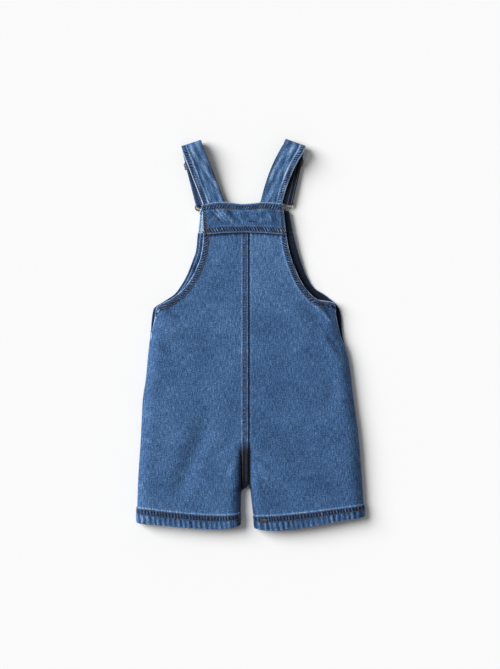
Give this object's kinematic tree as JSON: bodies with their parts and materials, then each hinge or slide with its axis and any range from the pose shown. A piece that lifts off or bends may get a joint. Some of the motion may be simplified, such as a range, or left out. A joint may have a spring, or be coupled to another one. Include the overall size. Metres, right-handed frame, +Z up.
{
  "type": "child's denim shortalls, laid flat",
  "caption": "Short-legged denim overalls for a child, laid flat with the back up: wide legs, felled back seam, yoke, and shoulder straps folded over to wire hooks.",
  "frame": {"origin": "middle of the garment in plan, on the surface that it lies on", "axes": "+X to the right with the back up, +Y from the hems towards the shoulders, +Z up out of the surface"},
  "size_m": [0.3215, 0.548, 0.0194],
  "materials": {
    "denim": "washed mid-blue cotton twill",
    "nickel": "nickel-plated steel, satin"
  },
  "bodies": {
    "root": {"back_left": "denim", "back_right": "denim", "front_left": "denim", "front_right": "denim", "back_yoke": "denim", "front_band": "denim", "strap_left": "denim", "strap_right": "denim", "hook_left": "nickel", "hook_right": "nickel", "slider_left": "nickel", "slider_right": "nickel", "button_left": "nickel", "button_right": "nickel"}
  },
  "joints": []
}
